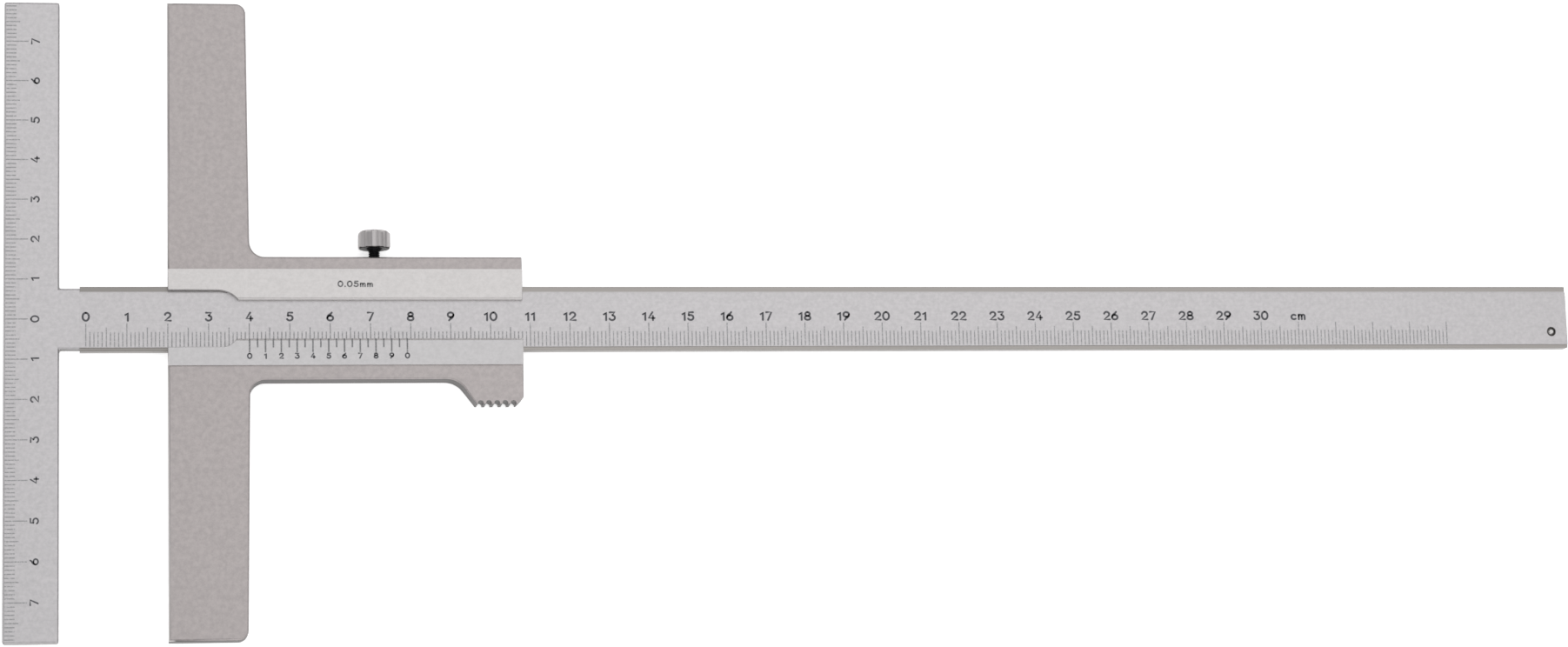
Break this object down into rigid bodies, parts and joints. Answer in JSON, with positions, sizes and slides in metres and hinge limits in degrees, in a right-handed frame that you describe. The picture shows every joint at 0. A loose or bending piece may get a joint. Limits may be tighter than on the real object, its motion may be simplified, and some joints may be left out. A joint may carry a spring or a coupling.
{
  "type": "marking caliper",
  "caption": "Vernier marking gauge: graduated beam with a cross rule fixed across its end, and a sliding bridge with thumb hook and fluted lock screw.",
  "frame": {"origin": "middle of the cross rule's outer edge face, halfway through its thickness", "axes": "+X along the beam towards its free end, +Y along the cross rule towards the lock screw's side, +Z out of the graduated face"},
  "size_m": [0.403, 0.16, 0.0084],
  "materials": {
    "rule_steel": "fine ground stainless steel, satin chromed",
    "slide_steel": "matt bead-blasted stainless steel",
    "strip_steel": "fine ground stainless steel",
    "screw_steel": "turned stainless steel",
    "knob_steel": "turned and fluted stainless steel",
    "black_steel": "blackened steel",
    "gib_bronze": "plain rolled bronze"
  },
  "bodies": {
    "beam": {"beam": "rule_steel", "cross_rule": "rule_steel", "stop_screw": "screw_steel"},
    "slide": {"slide_body": "slide_steel", "upper_guide_strip": "strip_steel", "vernier_plate": "strip_steel", "upper_strip_screw_1": "screw_steel", "upper_strip_screw_2": "screw_steel", "upper_strip_screw_3": "screw_steel", "upper_strip_screw_4": "screw_steel", "vernier_plate_screw_1": "screw_steel", "vernier_plate_screw_2": "screw_steel", "vernier_plate_screw_3": "screw_steel", "vernier_plate_screw_4": "screw_steel", "gib_set_screw_1": "black_steel", "gib_set_screw_2": "black_steel"},
    "gib": {"gib": "gib_bronze"},
    "lock_screw": {"lock_knob": "knob_steel", "lock_screw": "black_steel"}
  },
  "joints": [
    {"name": "slide_travel", "type": "slide", "parent": "beam", "child": "slide", "axis": [1, 0, 0], "range_m": [-0.0264, 0.2684]},
    {"name": "gib_press", "type": "slide", "parent": "slide", "child": "gib", "axis": [0, 1, 0], "range_m": [-0.00005, 0.00025]},
    {"name": "lock_turn", "type": "hinge", "parent": "gib", "child": "lock_screw", "pos_m": [0.0912, 0.0155, 0], "axis": [0, 1, 0], "range_deg": [-36, 180]}
  ],
  "couplings": [
    {"joint": "lock_turn", "follows": "gib_press", "rad_per_m": 12566}
  ]
}
